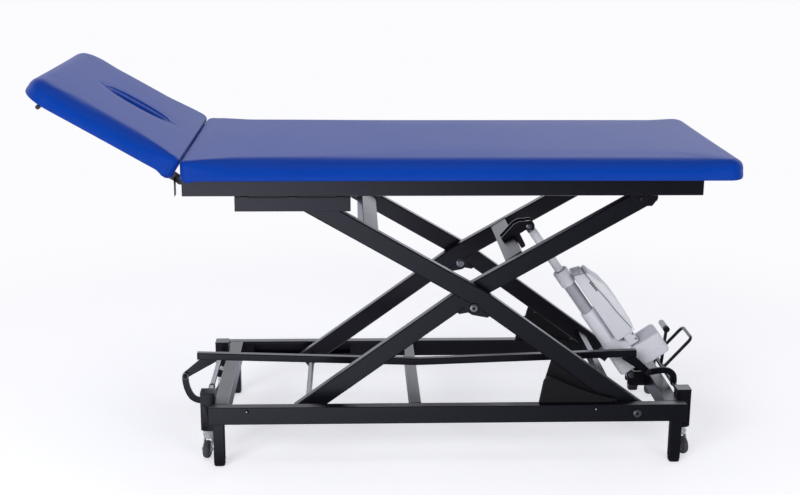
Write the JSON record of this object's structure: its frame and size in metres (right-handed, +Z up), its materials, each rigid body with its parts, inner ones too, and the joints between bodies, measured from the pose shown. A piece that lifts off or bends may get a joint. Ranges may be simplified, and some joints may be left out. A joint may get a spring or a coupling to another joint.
{
  "type": "treatment table",
  "caption": "Height-adjustable treatment table with a cranked scissor lift, linear actuator, tilting head section with breathing slot and pedal-driven castor lift.",
  "frame": {"origin": "centre of the footprint on the floor", "axes": "+X towards the foot end, -X the head end, -Y the side facing the viewer, +Z up"},
  "size_m": [1.8437, 0.6996, 1.0692],
  "materials": {
    "black_coat": "fine black powder coat",
    "zinc_plate": "bright zinc plate",
    "foot_plastic": "black moulded plastic",
    "wheel_tread": "dark grey tread",
    "drive_plastic": "light grey moulded plastic",
    "rod_steel": "satin drawn tube",
    "pad_board": "dark stained plywood",
    "blue_vinyl": "royal blue smooth vinyl over foam"
  },
  "bodies": {
    "base": {"front_base_rail": "black_coat", "rear_base_rail": "black_coat", "head_crossbar": "black_coat", "mid_crossbar": "black_coat", "foot_crossbar": "black_coat", "base_guard_front": "foot_plastic", "base_guard_rear": "foot_plastic", "base_pivot_bolt_front": "zinc_plate", "base_pivot_bolt_rear": "zinc_plate", "foot_cap_head_front": "foot_plastic", "foot_cap_head_rear": "foot_plastic", "foot_cap_foot_front": "foot_plastic", "foot_cap_foot_rear": "foot_plastic"},
    "outer_arms": {"outer_arm_front": "black_coat", "outer_arm_rear": "black_coat", "outer_lower_tube": "black_coat", "outer_upper_tube": "black_coat", "arm_guard_front": "foot_plastic", "arm_guard_rear": "foot_plastic"},
    "upper_roller": {"upper_roller_shaft": "zinc_plate"},
    "inner_arms": {"inner_arm_front": "black_coat", "inner_arm_rear": "black_coat", "inner_lift_tube": "black_coat", "lift_bracket": "black_coat", "centre_pivot_bolt_front": "zinc_plate", "centre_pivot_bolt_rear": "zinc_plate"},
    "lower_roller": {"lower_roller_shaft": "zinc_plate"},
    "top_frame": {"top_rail_front": "black_coat", "top_rail_rear": "black_coat", "top_crossbar_head": "black_coat", "top_crossbar_foot": "black_coat", "roller_guide_front": "black_coat", "roller_guide_rear": "black_coat", "top_pivot_bolt_front": "zinc_plate", "top_pivot_bolt_rear": "zinc_plate", "main_board": "pad_board", "main_cushion": "blue_vinyl"},
    "head_section": {"head_board": "pad_board", "head_cushion": "blue_vinyl", "head_hinge_front": "black_coat", "head_hinge_rear": "black_coat", "head_bar": "black_coat"},
    "actuator": {"actuator_housing": "drive_plastic", "control_box": "drive_plastic"},
    "actuator_rod_body": {"actuator_rod": "rod_steel"},
    "foot_lift": {"foot_shaft": "black_coat"},
    "head_lift": {"head_shaft": "black_coat"},
    "link": {"link_bar": "black_coat"},
    "castor_lift": {"castor_stem_head_front": "black_coat", "castor_stem_head_rear": "black_coat", "castor_stem_foot_front": "black_coat", "castor_stem_foot_rear": "black_coat"},
    "fork_head_front": {"castor_fork_head_front": "zinc_plate"},
    "wheel_head_front": {"castor_wheel_head_front": "wheel_tread"},
    "fork_head_rear": {"castor_fork_head_rear": "zinc_plate"},
    "wheel_head_rear": {"castor_wheel_head_rear": "wheel_tread"},
    "fork_foot_front": {"castor_fork_foot_front": "zinc_plate"},
    "wheel_foot_front": {"castor_wheel_foot_front": "wheel_tread"},
    "fork_foot_rear": {"castor_fork_foot_rear": "zinc_plate"},
    "wheel_foot_rear": {"castor_wheel_foot_rear": "wheel_tread"}
  },
  "joints": [
    {"name": "lift", "type": "hinge", "parent": "base", "child": "outer_arms", "pos_m": [0.6825, 0, 0.147], "axis": [0, 1, 0], "range_deg": [-19.11, 5.39]},
    {"name": "arm_cross", "type": "hinge", "parent": "outer_arms", "child": "inner_arms", "pos_m": [0.2302, 0, 0.442], "axis": [0, 1, 0], "range_deg": [-10.78, 38.24]},
    {"name": "top_level", "type": "hinge", "parent": "inner_arms", "child": "top_frame", "pos_m": [0.6825, 0, 0.737], "axis": [0, 1, 0], "range_deg": [-19.12, 5.4]},
    {"name": "upper_roller_spin", "type": "hinge", "parent": "outer_arms", "child": "upper_roller", "pos_m": [-0.2221, 0, 0.737], "axis": [0, 1, 0], "continuous": true},
    {"name": "lower_roller_spin", "type": "hinge", "parent": "inner_arms", "child": "lower_roller", "pos_m": [-0.2221, 0, 0.147], "axis": [0, 1, 0], "continuous": true},
    {"name": "head_tilt", "type": "hinge", "parent": "top_frame", "child": "head_section", "pos_m": [-0.5455, 0, 0.7953], "axis": [0, 1, 0], "range_deg": [-60, 0]},
    {"name": "actuator_swing", "type": "hinge", "parent": "base", "child": "actuator", "pos_m": [0.7205, 0, 0.158], "axis": [0, 1, 0], "range_deg": [-20.12, 5.71]},
    {"name": "rod_extend", "type": "slide", "parent": "actuator", "child": "actuator_rod_body", "axis": [-0.5727, 0, 0.8198], "range_m": [-0.14461, 0.04111]},
    {"name": "pedal", "type": "hinge", "parent": "base", "child": "foot_lift", "pos_m": [0.825, 0, 0.165], "axis": [0, 1, 0], "range_deg": [0, 60]},
    {"name": "head_crank", "type": "hinge", "parent": "base", "child": "head_lift", "pos_m": [-0.4975, 0, 0.165], "axis": [0, 1, 0], "range_deg": [-0.01, 60.01]},
    {"name": "link_swing", "type": "hinge", "parent": "head_lift", "child": "link", "pos_m": [-0.572, 0, 0.1975], "axis": [0, 1, 0], "range_deg": [-60.01, 0.01]},
    {"name": "castor_drop", "type": "slide", "parent": "base", "child": "castor_lift", "axis": [0, 0, -1], "range_m": [-0.0001, 0.0111]},
    {"name": "swivel_head_front", "type": "hinge", "parent": "castor_lift", "child": "fork_head_front", "pos_m": [-0.4975, -0.213, 0.07], "axis": [0, 0, 1], "continuous": true},
    {"name": "roll_head_front", "type": "hinge", "parent": "fork_head_front", "child": "wheel_head_front", "pos_m": [-0.50124, -0.23061, 0.0275], "axis": [0.9781, -0.2079, 0], "continuous": true},
    {"name": "swivel_head_rear", "type": "hinge", "parent": "castor_lift", "child": "fork_head_rear", "pos_m": [-0.4975, 0.213, 0.07], "axis": [0, 0, 1], "continuous": true},
    {"name": "roll_head_rear", "type": "hinge", "parent": "fork_head_rear", "child": "wheel_head_rear", "pos_m": [-0.5065, 0.19741, 0.0275], "axis": [0.866, -0.5, 0], "continuous": true},
    {"name": "swivel_foot_front", "type": "hinge", "parent": "castor_lift", "child": "fork_foot_front", "pos_m": [0.825, -0.213, 0.07], "axis": [0, 0, 1], "continuous": true},
    {"name": "roll_foot_front", "type": "hinge", "parent": "fork_foot_front", "child": "wheel_foot_front", "pos_m": [0.82874, -0.23061, 0.0275], "axis": [0.9781, 0.2079, 0], "continuous": true},
    {"name": "swivel_foot_rear", "type": "hinge", "parent": "castor_lift", "child": "fork_foot_rear", "pos_m": [0.825, 0.213, 0.07], "axis": [0, 0, 1], "continuous": true},
    {"name": "roll_foot_rear", "type": "hinge", "parent": "fork_foot_rear", "child": "wheel_foot_rear", "pos_m": [0.83657, 0.22679, 0.0275], "axis": [-0.766, 0.6428, 0], "continuous": true}
  ],
  "couplings": [
    {"joint": "arm_cross", "follows": "lift", "ratio": -2},
    {"joint": "top_level", "follows": "lift", "ratio": 1},
    {"joint": "actuator_swing", "follows": "lift", "ratio": 1.05},
    {"joint": "rod_extend", "follows": "lift", "m_per_rad": 0.432},
    {"joint": "head_crank", "follows": "pedal", "ratio": 1},
    {"joint": "link_swing", "follows": "pedal", "ratio": -1},
    {"joint": "castor_drop", "follows": "pedal", "m_per_rad": 0.0105}
  ]
}
